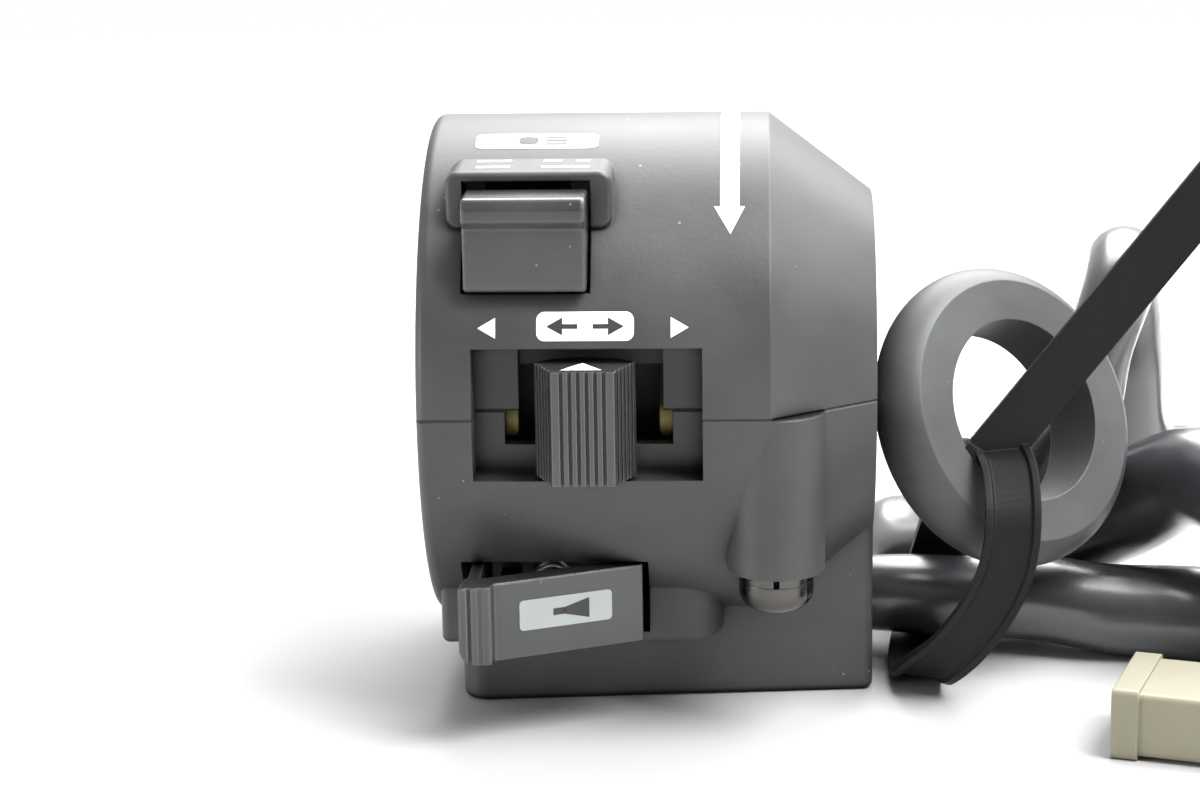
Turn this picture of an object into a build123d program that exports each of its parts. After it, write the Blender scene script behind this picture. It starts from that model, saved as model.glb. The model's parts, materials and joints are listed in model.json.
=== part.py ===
from build123d import *

import math
import os

os.makedirs("parts", exist_ok=True)

# Left-hand handlebar switch. The origin is on the bar's axis at the middle of the case, +X to the
# rider's right along the bar, -Y towards the rider and +Z up. Millimetres.

# Case: a barrel round the bar with a coned right end, a flat back and a box below
case_length = 52.0
barrel_radius = 30.0
cone_length = 12.2
cone_drop = 9.35
case_back = 20.4
case_drop = 37.9
case_wall = 2.4
end_wall = 3.0
end_round = 1.2
back_round = 5.0
bar_radius = 11.1
overrun = 1.0

# Box below the barrel, its front face a little turned in plan
box_inset = 3.1
box_front_left = 16.4
box_front_right = 11.8
box_front_round = 3.0
box_end_round = 1.3
box_edge_round = 1.8

# Shelf that carries the horn lever
shelf_inset = 1.2
shelf_length = 33.0
shelf_front = 19.7
shelf_top_drop = 20.0
shelf_drop = 29.5
shelf_end_round = 5.5
shelf_edge_round = 0.9

# Hood and hole of the lights key
hood_left = 22.7
hood_right = 3.9
hood_front = 22.5
hood_top = 26.95
hood_bottom = 20.4
hood_back = 12.0
hood_round = 1.5
hood_side = 1.2
hood_lip = 1.0
hole_left = 20.85
hole_right = 6.3
hole_bottom = 13.85
hole_floor = 12.0

# Recess of the turn knob, with the notches that its stem passes through
recess_left = 19.72
recess_right = 6.2
recess_top = 8.05
recess_bottom = 7.15
recess_floor = 24.8
recess_skin = 1.8
recess_side = 1.9
upper_notch_left = 14.7
upper_notch_right = 1.7
upper_notch_top = 7.4
lower_notch_left = 16.35
lower_notch_right = 2.75
lower_notch_bottom = 3.96

# Window of the horn lever and the ear over its pin
window_left = 21.9
window_right = 0.3
window_top = 18.2
window_bottom = 28.0
window_back = 15.0
ear_half_width = 3.2
ear_front = 22.5
ear_back = 15.4
ear_thickness = 2.2

# Case screws: pan heads under split washers, the front one below its own boss
screw_radius = 2.5
screw_running_gap = 0.05
screw_clearance = 0.2
screw_head_radius = 4.3
screw_head_height = 3.5
screw_head_round = 2.4
screw_cross_width = 0.9
screw_cross_length = 4.6
screw_cross_depth = 1.4
screw_reach = 9.0
front_screw_x = 14.4
front_screw_y = 24.4
front_boss_radius = 5.6
boss_drop = 18.7
boss_rise = 13.0
rear_screw_x = 14.4
rear_screw_y = 14.6
rear_boss_radius = 3.5
counterbore_radius = 4.7
counterbore_wall = 1.4
counterbore_land = 1.8
washer_thickness = 1.3
washer_slit = 0.7

# Saddle rib that carries the bar beside the front screw
rib_thickness = 2.4

# Lights key and what carries it
key_left = 20.4
key_right = 6.65
key_back = 22.8
key_panel_front = 28.3
key_ridge_front = 29.3
key_bottom = 14.3
key_panel_top = 21.5
key_ridge_low = 22.5
key_ridge_high = 23.8
key_top = 25.0
key_front_round = 1.2
key_side_round = 0.7
key_neck_half_width = 4.0
key_neck_low = 17.0
key_neck_high = 22.0
key_travel = 2.5
key_slider_half_width = 4.6
key_slider_low = 15.2
key_slider_high = 22.9
key_slider_front = 19.6
key_slider_back = 15.9
key_contact_thickness = 0.4
key_contact_half_width = 3.6

lights_base_front = 15.1
lights_base_back = 13.1
lights_base_left = 20.6
lights_base_right = 6.2
lights_base_low = 10.3
lights_base_high = 25.3
lights_rail_gap = 0.3
lights_rail_front = 18.6
lights_post_height = 11.9
lights_post_inset = 2.2
lights_post_radius = 1.5
lights_contact_half_width = 1.1
lights_contact_share = 0.5

# Turn knob: fluted, on a stem through the recess floor
knob_middle = 7.0
knob_front = 33.0
knob_front_half = 3.5
knob_shoulder = 27.8
knob_half_width = 5.7
knob_back = 25.3
knob_bottom = 6.75
knob_top = 6.3
knob_travel = 5.0
flute_gap_count = 6
flute_pitch = 0.95
flute_width = 0.42
flute_depth = 0.45
side_flute_count = 5
stem_half_width = 1.8
stem_half_height = 2.1
stem_back = 19.4

slider_half_width = 2.6
slider_half_height = 4.6
slider_front = 22.6
slider_back = 15.0
turn_contact_thickness = 0.3
turn_contact_half_height = 3.0
turn_contact_front = 21.6
rail_gap = 0.3
rail_thickness = 1.9
rail_front = 22.5
rail_side_room = 1.6
turn_base_front = 14.6
turn_base_back = 12.6
turn_base_low = 9.4
turn_post_drop = 7.8
turn_post_radius = 1.6
turn_post_room = 2.6

# Brass contacts that stand beside the turn slider
fixed_contact_reach = 8.9
fixed_contact_half_width = 0.8
fixed_contact_front = 20.6
fixed_contact_thickness = 0.8
fixed_contact_tip = 4.1

# Detent balls and their springs
ball_radius = 1.0
ball_running_gap = 0.1
detent_spring_wire = 0.3
detent_spring_turns = 3
detent_depth = 0.5
turn_ball_y = 17.2
turn_bore_depth = 3.6
key_bore_depth = 3.2

# Small screws of the switch bases
small_screw_radius = 0.8
small_screw_head_radius = 1.7
small_screw_head_height = 1.0
small_screw_reach = 5.0

# Horn lever, hinged on a pin at its right end
lever_right = 1.0
lever_right_front = 24.0
lever_left = 17.45
lever_left_front = 31.5
lever_thickness = 2.6
lever_top = 18.5
lever_bottom = 27.6
lever_edge_round = 0.5
pad_left = 21.4
pad_front = 33.5
pad_right_front = 33.0
pad_step = 0.35
pad_rib_count = 3
pad_rib_groove = 0.4
pad_rib_depth = 0.45
pad_wall_left = 20.6
pad_wall_right = 19.2
pad_wall_back = 21.5
pad_bottom_round = 2.0
hub_x = 3.0
hub_y = 17.6
hub_radius = 2.0
hub_top = 18.6
arm_left = 4.6
arm_right = 1.3
pin_radius = 0.8
pin_running_gap = 0.05
pin_low = 29.2
pin_high = 16.2
spring_seat_x = 12.0
spring_seat_z = 23.0
spring_seat_radius = 2.6
spring_seat_y = 24.6
spring_seat_front = 27.2

horn_spring_radius = 2.1
horn_spring_wire = 0.6
horn_spring_turns = 6
horn_plate_front = 11.5
horn_plate_back = 9.7
horn_plate_left = 19.4
horn_plate_right = 3.6
horn_plate_low = 34.4
horn_plate_high = 17.6
horn_post_drop = 31.6
horn_post_inset = 2.6
horn_contact_x = 17.0
horn_contact_half = 1.2
horn_contact_thickness = 0.5
horn_contact_front = 22.8
horn_moving_tip = 24.8
horn_moving_radius = 0.9

# Wiring outlet in the right end of the box
outlet_y = 4.0
outlet_drop = 30.8
outlet_radius = 4.0
grommet_wall = 0.8
grommet_flange = 0.7
grommet_flange_thickness = 1.2

# Sleeve over the wires
sleeve_radius = 5.4
bend_share = 0.45

# Wires and the connector at the sleeve's far end
wire_radius = 0.9
wire_count = 3
connector_x = 70.0
connector_y = -33.5
connector_z = -33.8
connector_x_share = 0.95
connector_y_share = 0.31
connector_length = 17.0
connector_width = 14.0
connector_height = 7.4
connector_round = 0.8
connector_rim = 0.8
connector_rim_length = 3.0
connector_pitch = 4.05
connector_cavity = 2.8
connector_back = 2.0
terminal_width = 1.8
terminal_thickness = 0.6

# Bar ring tied to the sleeve
ring_x = 44.35
ring_y = 4.0
ring_z = 5.2
ring_bore_radius = 11.1
ring_face_radius = 16.0
ring_outer_radius = 18.4
ring_width = 8.2
ring_face_x_share = 0.583
ring_face_y_share = -0.703
ring_face_z_share = 0.407
ring_tie_turn = -38.0

# Strap that ties the ring to the sleeve
strap_width = 6.0
strap_thickness = 0.95
strap_gap = 0.85
strap_sleeve_x = 34.0
strap_sleeve_y = 3.6
strap_sleeve_drop = 30.35
strap_ring_room = 1.8
tail_root_turn = 45.0
tail_end = (67.5, -12.0, 26.8)
buckle_length = 3.2
buckle_width = 7.0
buckle_thickness = 2.2

case_half = case_length / 2
cone_start = case_half - cone_length
cone_angle = math.atan(cone_drop / cone_length)
box_left = -case_half + box_inset
turn_post_reach = fixed_contact_reach + turn_post_room


def block(x_low, x_high, y_low, y_high, z_low, z_high, mode=Mode.ADD):
    """Block between three pairs of faces, in the part that is open."""
    with Locations(((x_low + x_high) / 2, (y_low + y_high) / 2, (z_low + z_high) / 2)):
        Box(x_high - x_low, y_high - y_low, z_high - z_low, mode=mode)


def patch(a_low, a_high, b_low, b_high, mode=Mode.ADD):
    """Rectangle between two pairs of edges, in the sketch that is open."""
    with Locations(((a_low + a_high) / 2, (b_low + b_high) / 2)):
        Rectangle(a_high - a_low, b_high - b_low, mode=mode)


def post(x, y, z_low, z_high, radius, mode=Mode.ADD):
    """Upright cylinder."""
    with Locations((x, y, (z_low + z_high) / 2)):
        Cylinder(radius, z_high - z_low, mode=mode)


def spindle(x, z, y_low, y_high, radius, mode=Mode.ADD):
    """Cylinder along Y."""
    with Locations(Location((x, (y_low + y_high) / 2, z), (90, 0, 0))):
        Cylinder(radius, y_high - y_low, mode=mode)


def keep(piece, label):
    """Names a finished sub-part and writes its file."""
    piece.part.label = label
    export_step(piece.part, f"parts/{label}.step")


def barrel(inset, end_inset):
    """Body of revolution about the bar, drawn in by inset all round and by end_inset at its ends."""
    left = -case_half + end_inset
    right = case_half - end_inset
    radius = barrel_radius - inset
    cone_from = cone_start - inset * math.tan(cone_angle / 2)
    right_radius = radius - (right - cone_from) * math.tan(cone_angle)
    with BuildPart() as body:
        with BuildSketch(Plane.XZ) as half:
            with BuildLine():
                Polyline((left, 0), (left, radius), (cone_from, radius), (right, right_radius),
                         (right, 0), close=True)
            make_face()
            fillet(half.vertices().group_by(Axis.X)[0].sort_by(Axis.Y)[-1], end_round)
        revolve(axis=Axis.X)
    return body.part


def box_body(inset, end_inset, low):
    """Box below the barrel up to the seam, drawn in by inset at its sides and end_inset at its ends."""
    left = box_left + end_inset
    right = case_half - end_inset
    slope = (box_front_left - box_front_right) / (case_length - box_inset)
    front_left = -box_front_left + end_inset * slope + inset
    front_right = -box_front_right - end_inset * slope + inset
    back = case_back - inset
    front_round = max(box_front_round - inset, box_end_round / 2)
    side_round = max(box_end_round - inset, box_end_round / 2)
    with BuildPart() as body:
        with BuildSketch(Plane.XY.offset(-low)) as plan:
            with BuildLine():
                Polyline((left, front_left), (right, front_right), (right, back), (left, back),
                         close=True)
            make_face()
            fillet(plan.vertices().group_by(Axis.X)[0].sort_by(Axis.Y)[0], front_round)
            fillet(plan.vertices().group_by(Axis.X)[-1], side_round)
        extrude(amount=low)
        if not inset:
            fillet(body.faces().sort_by(Axis.Z)[0].edges(), box_edge_round / 2)
    return body.part


# The recess block is cut from both halves of the case, each with its own notch
def recess_block():
    block(-recess_left - recess_side, recess_right + recess_side, -barrel_radius,
          -recess_floor + recess_skin, -recess_bottom - recess_side, recess_top + recess_side)


def cut_recess(notch_left, notch_right, notch_low, notch_high):
    block(-recess_left, recess_right, -barrel_radius - overrun, -recess_floor, -recess_bottom,
          recess_top, mode=Mode.SUBTRACT)
    block(-notch_left, notch_right, -barrel_radius, -recess_floor + recess_skin + overrun, notch_low,
          notch_high, mode=Mode.SUBTRACT)


outer_barrel = barrel(0, 0)
barrel_room = barrel(case_wall, end_wall)

# Upper case
with BuildPart() as upper_section:
    with BuildSketch(Plane.YZ.offset(-case_half - overrun)) as section:
        Circle(barrel_radius)
        patch(-barrel_radius, case_back, 0, barrel_radius, mode=Mode.INTERSECT)
        fillet(section.vertices().group_by(Axis.X)[-1].sort_by(Axis.Y)[-1], back_round)
    extrude(amount=case_length + 2 * overrun)

with BuildPart() as upper_room_section:
    with BuildSketch(Plane.YZ.offset(-case_half - overrun)) as section:
        Circle(barrel_radius - case_wall)
        patch(-barrel_radius, case_back - case_wall, -overrun, barrel_radius, mode=Mode.INTERSECT)
        fillet(section.vertices().group_by(Axis.X)[-1].sort_by(Axis.Y)[-1], back_round - case_wall)
    extrude(amount=case_length + 2 * overrun)

with BuildPart() as upper_room:
    add(barrel_room)
    add(upper_room_section.part, mode=Mode.INTERSECT)

with BuildPart() as hood:
    with BuildSketch(Plane.XZ.offset(hood_front)) as front:
        patch(-hood_left, -hood_right, hood_bottom, hood_top)
        fillet(front.vertices(), hood_round)
    extrude(amount=hood_back - hood_front)
    fillet(hood.faces().sort_by(Axis.Y)[0].edges(), end_round / 2)

with BuildPart() as upper_outside:
    add(outer_barrel)
    add(upper_section.part, mode=Mode.INTERSECT)
    add(hood.part)

with BuildPart() as upper_case:
    add(upper_outside.part)
    add(upper_room.part, mode=Mode.SUBTRACT)
    # Room under the hood, open to the barrel
    block(-hood_left + hood_side, -hood_right - hood_side, -hood_front + hood_side, -hood_back, hole_floor,
          hood_top - hood_lip, mode=Mode.SUBTRACT)
    # Recess, saddle rib, bosses and the posts of the lights base
    recess_block()
    block(front_screw_x - rib_thickness / 2, front_screw_x + rib_thickness / 2, -front_screw_y,
          case_back - case_wall, 0, barrel_radius - case_wall)
    post(front_screw_x, -front_screw_y, 0, boss_rise, front_boss_radius)
    post(-rear_screw_x, rear_screw_y, 0, boss_rise, rear_boss_radius)
    for x in (-lights_base_left + lights_post_inset, -lights_base_right - lights_post_inset):
        spindle(x, lights_post_height, -barrel_radius + case_wall, -lights_base_front, lights_post_radius)
    add(upper_outside.part, mode=Mode.INTERSECT)
    # Holes
    cut_recess(upper_notch_left, upper_notch_right, -overrun, upper_notch_top)
    block(-hole_left, -hole_right, -barrel_radius - overrun, -hood_front + hood_side + overrun, hole_bottom,
          hood_top - hood_lip, mode=Mode.SUBTRACT)
    for x, y in ((front_screw_x, -front_screw_y), (-rear_screw_x, rear_screw_y)):
        post(x, y, -overrun, screw_reach, screw_radius + screw_running_gap, mode=Mode.SUBTRACT)
    for x in (-lights_base_left + lights_post_inset, -lights_base_right - lights_post_inset):
        spindle(x, lights_post_height, -lights_base_front - small_screw_reach, -lights_base_front + overrun,
                small_screw_radius + screw_running_gap, mode=Mode.SUBTRACT)
    with Locations(Location((0, 0, 0), (0, 90, 0))):
        Cylinder(bar_radius, case_length + 2 * overrun, mode=Mode.SUBTRACT)
keep(upper_case, "upper_case")

# Lower case
with BuildPart() as shelf:
    with BuildSketch(Plane.XY.offset(-shelf_drop)) as plan:
        patch(-case_half + shelf_inset, -case_half + shelf_inset + shelf_length, -shelf_front, 0)
        fillet(plan.vertices().group_by(Axis.X)[-1].sort_by(Axis.Y)[0], shelf_end_round)
        fillet(plan.vertices().group_by(Axis.X)[0].sort_by(Axis.Y)[0], shelf_edge_round)
    extrude(amount=shelf_drop - shelf_top_drop)
    fillet(shelf.faces().sort_by(Axis.Z)[0].edges().sort_by(Axis.Y)[:-1], shelf_edge_round)

with BuildPart() as lower_half:
    add(outer_barrel)
    block(-case_length, case_length, -case_length, case_back, -case_length, 0, mode=Mode.INTERSECT)

with BuildPart() as lower_outside:
    add(lower_half.part)
    add(box_body(0, 0, case_drop))
    add(shelf.part)
    post(front_screw_x, -front_screw_y, -boss_drop, 0, front_boss_radius)

with BuildPart() as lower_room:
    add(barrel_room)
    block(-case_length, case_length, -case_length, case_back - case_wall, -case_length, overrun,
          mode=Mode.INTERSECT)
    add(box_body(case_wall, end_wall, case_drop - case_wall))
    block(-window_left, -window_right, -shelf_front + case_wall, 0, -window_bottom, -shelf_top_drop)

with BuildPart() as lower_case:
    add(lower_outside.part)
    add(lower_room.part, mode=Mode.SUBTRACT)
    # Recess, saddle rib, bosses, ear and posts
    recess_block()
    block(front_screw_x - rib_thickness / 2, front_screw_x + rib_thickness / 2, -front_screw_y,
          case_back - case_wall, -case_drop + case_wall, 0)
    post(front_screw_x, -front_screw_y, -boss_drop - case_wall, 0, front_boss_radius)
    post(-rear_screw_x, rear_screw_y, -boss_drop - overrun, 0, rear_boss_radius)
    post(-rear_screw_x, rear_screw_y, -case_drop + overrun, -boss_drop + counterbore_land,
         counterbore_radius + counterbore_wall)
    block(-hub_x - ear_half_width, -hub_x + ear_half_width, -ear_front, -ear_back, -window_top,
          -window_top + ear_thickness)
    for x in (-horn_plate_left + horn_post_inset, -horn_plate_right - horn_post_inset):
        spindle(x, -horn_post_drop, -box_front_left + case_wall / 2, -horn_plate_front, turn_post_radius)
    for x in (-knob_middle - turn_post_reach, -knob_middle + turn_post_reach):
        spindle(x, -turn_post_drop, -recess_floor + recess_skin / 2, -turn_base_front, turn_post_radius)
    add(lower_outside.part, mode=Mode.INTERSECT)
    # Holes
    cut_recess(lower_notch_left, lower_notch_right, -lower_notch_bottom, overrun)
    block(-window_left, -window_right, -barrel_radius, -window_back, -window_bottom, -window_top,
          mode=Mode.SUBTRACT)
    post(front_screw_x, -front_screw_y, -boss_drop - overrun, overrun, screw_radius + screw_clearance,
         mode=Mode.SUBTRACT)
    post(-rear_screw_x, rear_screw_y, -boss_drop - overrun, overrun, screw_radius + screw_clearance,
         mode=Mode.SUBTRACT)
    post(-rear_screw_x, rear_screw_y, -case_drop - overrun, -boss_drop, counterbore_radius,
         mode=Mode.SUBTRACT)
    post(front_screw_x, -front_screw_y, -case_drop, -boss_drop, counterbore_radius, mode=Mode.SUBTRACT)
    post(-hub_x, -hub_y, -shelf_drop - overrun, -pin_high, pin_radius + pin_running_gap,
         mode=Mode.SUBTRACT)
    for x in (-horn_plate_left + horn_post_inset, -horn_plate_right - horn_post_inset):
        spindle(x, -horn_post_drop, -horn_plate_front - small_screw_reach / 2, -horn_plate_front + overrun,
                small_screw_radius + screw_running_gap, mode=Mode.SUBTRACT)
    for x in (-knob_middle - turn_post_reach, -knob_middle + turn_post_reach):
        spindle(x, -turn_post_drop, -turn_base_front - small_screw_reach, -turn_base_front + overrun,
                small_screw_radius + screw_running_gap, mode=Mode.SUBTRACT)
    with Locations(Location((0, 0, 0), (0, 90, 0))):
        Cylinder(bar_radius, case_length + 2 * overrun, mode=Mode.SUBTRACT)
    with Locations(Location((case_half - end_wall / 2, outlet_y, -outlet_drop), (0, 90, 0))):
        Cylinder(outlet_radius, end_wall + 2 * overrun, mode=Mode.SUBTRACT)
keep(lower_case, "lower_case")

# Case screws and their split washers
screw_seat = -boss_drop - washer_thickness
with BuildPart() as case_screw:
    with BuildSketch(Plane.XZ) as half:
        with BuildLine():
            Polyline((0, screw_seat - screw_head_height),
                     (screw_head_radius, screw_seat - screw_head_height),
                     (screw_head_radius, screw_seat), (screw_radius, screw_seat),
                     (screw_radius, screw_reach - overrun), (0, screw_reach - overrun), close=True)
        make_face()
        fillet(half.vertices().sort_by(Axis.Y)[:2].sort_by(Axis.X)[-1], screw_head_round)
    revolve(axis=Axis.Z)
    for turn in (0, 90):
        with Locations(Location((0, 0, screw_seat - screw_head_height), (0, 0, turn))):
            Box(screw_cross_length, screw_cross_width, 2 * screw_cross_depth, mode=Mode.SUBTRACT)

with BuildPart() as case_screws:
    for x, y in ((front_screw_x, -front_screw_y), (-rear_screw_x, rear_screw_y)):
        add(case_screw.part.moved(Location((x, y, 0))))
keep(case_screws, "case_screws")

with BuildPart() as screw_washers:
    for x, y in ((front_screw_x, -front_screw_y), (-rear_screw_x, rear_screw_y)):
        post(x, y, -boss_drop - washer_thickness, -boss_drop, screw_head_radius)
        post(x, y, -boss_drop - washer_thickness, -boss_drop, screw_radius + screw_clearance,
             mode=Mode.SUBTRACT)
        block(x - washer_slit / 2, x + washer_slit / 2, y - screw_head_radius - overrun, y,
              -boss_drop - washer_thickness, -boss_drop, mode=Mode.SUBTRACT)
keep(screw_washers, "screw_washers")

# Lights key: a cap before the hood, on a neck that ends in a slider
key_middle = -(key_left + key_right) / 2
with BuildPart() as lights_knob:
    with BuildSketch(Plane.YZ.offset(-key_left)) as side:
        with BuildLine():
            Polyline((-key_back, key_bottom), (-key_panel_front, key_bottom),
                     (-key_panel_front, key_panel_top), (-key_ridge_front, key_ridge_low),
                     (-key_ridge_front, key_ridge_high),
                     (-key_ridge_front + key_front_round / 2, key_top), (-key_back, key_top), close=True)
        make_face()
        fillet(side.vertices().sort_by(Axis.X)[:2], key_side_round / 2)
        fillet(side.vertices().group_by(Axis.Y)[0].sort_by(Axis.X)[0], key_side_round)
        fillet(side.vertices().group_by(Axis.Y)[-1].sort_by(Axis.X)[0], key_side_round)
    extrude(amount=key_left - key_right)
    fillet(lights_knob.faces().sort_by(Axis.X)[-1].edges().sort_by(Axis.Y)[:-1], key_side_round / 2)
    fillet(lights_knob.faces().sort_by(Axis.X)[0].edges().sort_by(Axis.Y)[:-1], key_side_round / 2)
    block(key_middle - key_neck_half_width, key_middle + key_neck_half_width, -key_back, -key_slider_front,
          key_neck_low, key_neck_high)
    block(key_middle - key_slider_half_width, key_middle + key_slider_half_width, -key_slider_front,
          -key_slider_back, key_slider_low, key_slider_high)
    # Bore of the detent ball in the slider's left side
    with Locations(Location((key_middle - key_slider_half_width + key_bore_depth / 2,
                             -(key_slider_front + key_slider_back) / 2,
                             (key_slider_low + key_slider_high) / 2), (0, 90, 0))):
        Cylinder(ball_radius + ball_running_gap, key_bore_depth, mode=Mode.SUBTRACT)
keep(lights_knob, "lights_knob")

with BuildPart() as lights_moving_contact:
    block(key_middle - key_contact_half_width, key_middle + key_contact_half_width, -key_slider_back,
          -key_slider_back + key_contact_thickness, key_slider_low, key_slider_high)
keep(lights_moving_contact, "lights_moving_contact")


def detent_spring(radius, length):
    """Small spring along +Z from the origin, one unbroken wire with its ends in the length."""
    coil = radius - detent_spring_wire / 2
    rise = length - detent_spring_wire
    with BuildPart() as spring:
        with BuildLine() as path:
            Helix(rise / detent_spring_turns, rise, coil)
        with BuildSketch(Plane(origin=path.line @ 0, z_dir=path.line % 0)):
            Circle(detent_spring_wire / 2)
        sweep(is_frenet=True)
    return spring.part.moved(Location((0, 0, detent_spring_wire / 2)))


key_ball_centre = (key_middle - key_slider_half_width + ball_radius - 2 * ball_running_gap,
                   -(key_slider_front + key_slider_back) / 2, (key_slider_low + key_slider_high) / 2)
with BuildPart() as lights_detent_ball:
    with Locations(key_ball_centre):
        Sphere(ball_radius)
keep(lights_detent_ball, "lights_detent_ball")

key_spring_length = key_bore_depth - 2 * ball_radius + 2 * ball_running_gap
with BuildPart() as lights_detent_spring:
    add(detent_spring(ball_radius, key_spring_length).moved(
        Location((key_middle - key_slider_half_width + key_bore_depth, key_ball_centre[1],
                  key_ball_centre[2]), (0, -90, 0))))
keep(lights_detent_spring, "lights_detent_spring")

with BuildPart() as lights_base:
    block(-lights_base_left, -lights_base_right, -lights_base_front, -lights_base_back, lights_base_low,
          lights_base_high)
    for side in (-1, 1):
        rail_inner = key_middle + side * (key_slider_half_width + lights_rail_gap)
        rail_outer = key_middle + side * (lights_base_left - lights_base_right) / 2
        block(min(rail_inner, rail_outer), max(rail_inner, rail_outer), -lights_rail_front,
              -lights_base_front, hole_bottom, lights_base_high)
    for rise in (0, key_travel):
        with Locations((key_middle - key_slider_half_width - lights_rail_gap, key_ball_centre[1],
                        key_ball_centre[2] + rise)):
            Sphere(detent_depth, mode=Mode.SUBTRACT)
    for x in (-lights_base_left + lights_post_inset, -lights_base_right - lights_post_inset):
        spindle(x, lights_post_height, -lights_base_front - overrun, -lights_base_back + overrun,
                small_screw_radius + screw_running_gap, mode=Mode.SUBTRACT)
keep(lights_base, "lights_base")

lights_contact_front = key_slider_back - key_contact_thickness - ball_running_gap
with BuildPart() as lights_fixed_contacts:
    for z in (key_slider_low + overrun, key_slider_high + overrun):
        for side in (-1, 1):
            x = key_middle + side * key_contact_half_width * lights_contact_share
            block(x - lights_contact_half_width, x + lights_contact_half_width, -lights_contact_front,
                  -lights_base_front, z - lights_contact_half_width, z + lights_contact_half_width)
keep(lights_fixed_contacts, "lights_fixed_contacts")


def small_screw(x, z, seat):
    """Screw along Y with its head behind the seat."""
    spindle(x, z, seat - small_screw_reach, seat, small_screw_radius)
    spindle(x, z, seat, seat + small_screw_head_height, small_screw_head_radius)


with BuildPart() as lights_base_screws:
    for x in (-lights_base_left + lights_post_inset, -lights_base_right - lights_post_inset):
        small_screw(x, lights_post_height, -lights_base_back)
keep(lights_base_screws, "lights_base_screws")

# Turn knob: flutes on its front and on its oblique sides
with BuildPart() as turn_knob:
    with BuildSketch(Plane.XY.offset(-knob_bottom)) as plan:
        with BuildLine():
            Polyline((-knob_middle - knob_half_width, -knob_shoulder),
                     (-knob_middle - knob_front_half, -knob_front),
                     (-knob_middle + knob_front_half, -knob_front),
                     (-knob_middle + knob_half_width, -knob_shoulder))
            ThreePointArc((-knob_middle + knob_half_width, -knob_shoulder), (-knob_middle, -knob_back),
                          (-knob_middle - knob_half_width, -knob_shoulder))
        make_face()
        for step in range(flute_gap_count):
            x = -knob_middle + (step - (flute_gap_count - 1) / 2) * flute_pitch
            patch(x - flute_width / 2, x + flute_width / 2, -knob_front - overrun, -knob_front + flute_depth,
                  mode=Mode.SUBTRACT)
        side_run = math.hypot(knob_half_width - knob_front_half, knob_front - knob_shoulder)
        side_turn = math.degrees(math.atan2(knob_front - knob_shoulder, knob_half_width - knob_front_half))
        for side in (-1, 1):
            for step in range(side_flute_count):
                share = (step + 1) / (side_flute_count + 1)
                x = -knob_middle + side * (knob_front_half + share * (knob_half_width - knob_front_half))
                y = -knob_front + share * (knob_front - knob_shoulder)
                with Locations(Location((x, y, 0), (0, 0, side * side_turn))):
                    Rectangle(side_run / (side_flute_count + 1) / 2, flute_depth, mode=Mode.SUBTRACT)
    extrude(amount=knob_bottom + knob_top)
    block(-knob_middle - stem_half_width, -knob_middle + stem_half_width, -knob_back - overrun, -stem_back,
          -stem_half_height, stem_half_height)
keep(turn_knob, "turn_knob")

turn_ball_centre = (-knob_middle, -turn_ball_y, slider_half_height - ball_radius + 2 * ball_running_gap)
with BuildPart() as turn_slider:
    block(-knob_middle - slider_half_width, -knob_middle + slider_half_width, -slider_front, -slider_back,
          -slider_half_height, slider_half_height)
    block(-knob_middle - stem_half_width, -knob_middle + stem_half_width, -slider_front - overrun,
          -stem_back, -stem_half_height, stem_half_height, mode=Mode.SUBTRACT)
    post(-knob_middle, -turn_ball_y, slider_half_height - turn_bore_depth, slider_half_height + overrun,
         ball_radius + ball_running_gap, mode=Mode.SUBTRACT)
keep(turn_slider, "turn_slider")

with BuildPart() as turn_moving_contact:
    block(-knob_middle - slider_half_width - turn_contact_thickness,
          -knob_middle + slider_half_width + turn_contact_thickness, -turn_contact_front,
          -slider_back + turn_contact_thickness, -turn_contact_half_height, turn_contact_half_height)
    block(-knob_middle - slider_half_width, -knob_middle + slider_half_width,
          -turn_contact_front - overrun, -slider_back, -turn_contact_half_height - overrun,
          turn_contact_half_height + overrun, mode=Mode.SUBTRACT)
keep(turn_moving_contact, "turn_moving_contact")

with BuildPart() as turn_detent_ball:
    with Locations(turn_ball_centre):
        Sphere(ball_radius)
keep(turn_detent_ball, "turn_detent_ball")

turn_spring_low = slider_half_height - turn_bore_depth
with BuildPart() as turn_detent_spring:
    add(detent_spring(ball_radius, turn_ball_centre[2] - ball_radius - turn_spring_low).moved(
        Location((turn_ball_centre[0], turn_ball_centre[1], turn_spring_low))))
keep(turn_detent_spring, "turn_detent_spring")

rail_inside = slider_half_height + rail_gap
rail_reach = slider_half_width + turn_contact_thickness + knob_travel + rail_side_room
turn_base_reach = turn_post_reach + turn_post_radius
with BuildPart() as turn_base:
    block(-knob_middle - turn_base_reach, -knob_middle + turn_base_reach, -turn_base_front,
          -turn_base_back, -turn_base_low, rail_inside + rail_thickness)
    for low in (rail_inside, -rail_inside - rail_thickness):
        block(-knob_middle - rail_reach, -knob_middle + rail_reach, -rail_front, -turn_base_front, low,
              low + rail_thickness)
    for step in (-knob_travel, 0, knob_travel):
        with Locations((-knob_middle + step, -turn_ball_y, rail_inside)):
            Sphere(detent_depth, mode=Mode.SUBTRACT)
    for side in (-1, 1):
        spindle(-knob_middle + side * turn_post_reach, -turn_post_drop, -turn_base_front - overrun,
                -turn_base_back + overrun, small_screw_radius + screw_running_gap, mode=Mode.SUBTRACT)
keep(turn_base, "turn_base")

with BuildPart() as turn_base_screws:
    for side in (-1, 1):
        small_screw(-knob_middle + side * turn_post_reach, -turn_post_drop, -turn_base_back)
keep(turn_base_screws, "turn_base_screws")

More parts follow.
